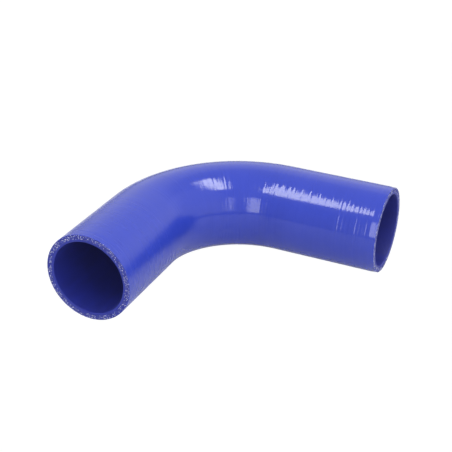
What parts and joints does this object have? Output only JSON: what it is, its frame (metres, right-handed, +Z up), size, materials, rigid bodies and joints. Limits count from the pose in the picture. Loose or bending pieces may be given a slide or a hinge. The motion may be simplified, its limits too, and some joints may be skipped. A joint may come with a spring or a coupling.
{
  "type": "silicone elbow hose",
  "caption": "Right-angle elbow hose moulded in fibre-reinforced silicone, with an even wall, a round bore and square-cut open ends that slide over pipes and are clamped.",
  "frame": {"origin": "under the middle of the hose's bounding box, on the surface that the hose lies on", "axes": "+X along the outlet leg and out of its mouth, -Y along the inlet leg and out of its mouth, +Z up, square to the plane of the bend"},
  "size_m": [0.1826, 0.1776, 0.061],
  "materials": {
    "blue_silicone": "satin",
    "reinforcing_thread": "matte"
  },
  "bodies": {
    "root": {"elbow_hose": "blue_silicone"}
  },
  "joints": []
}
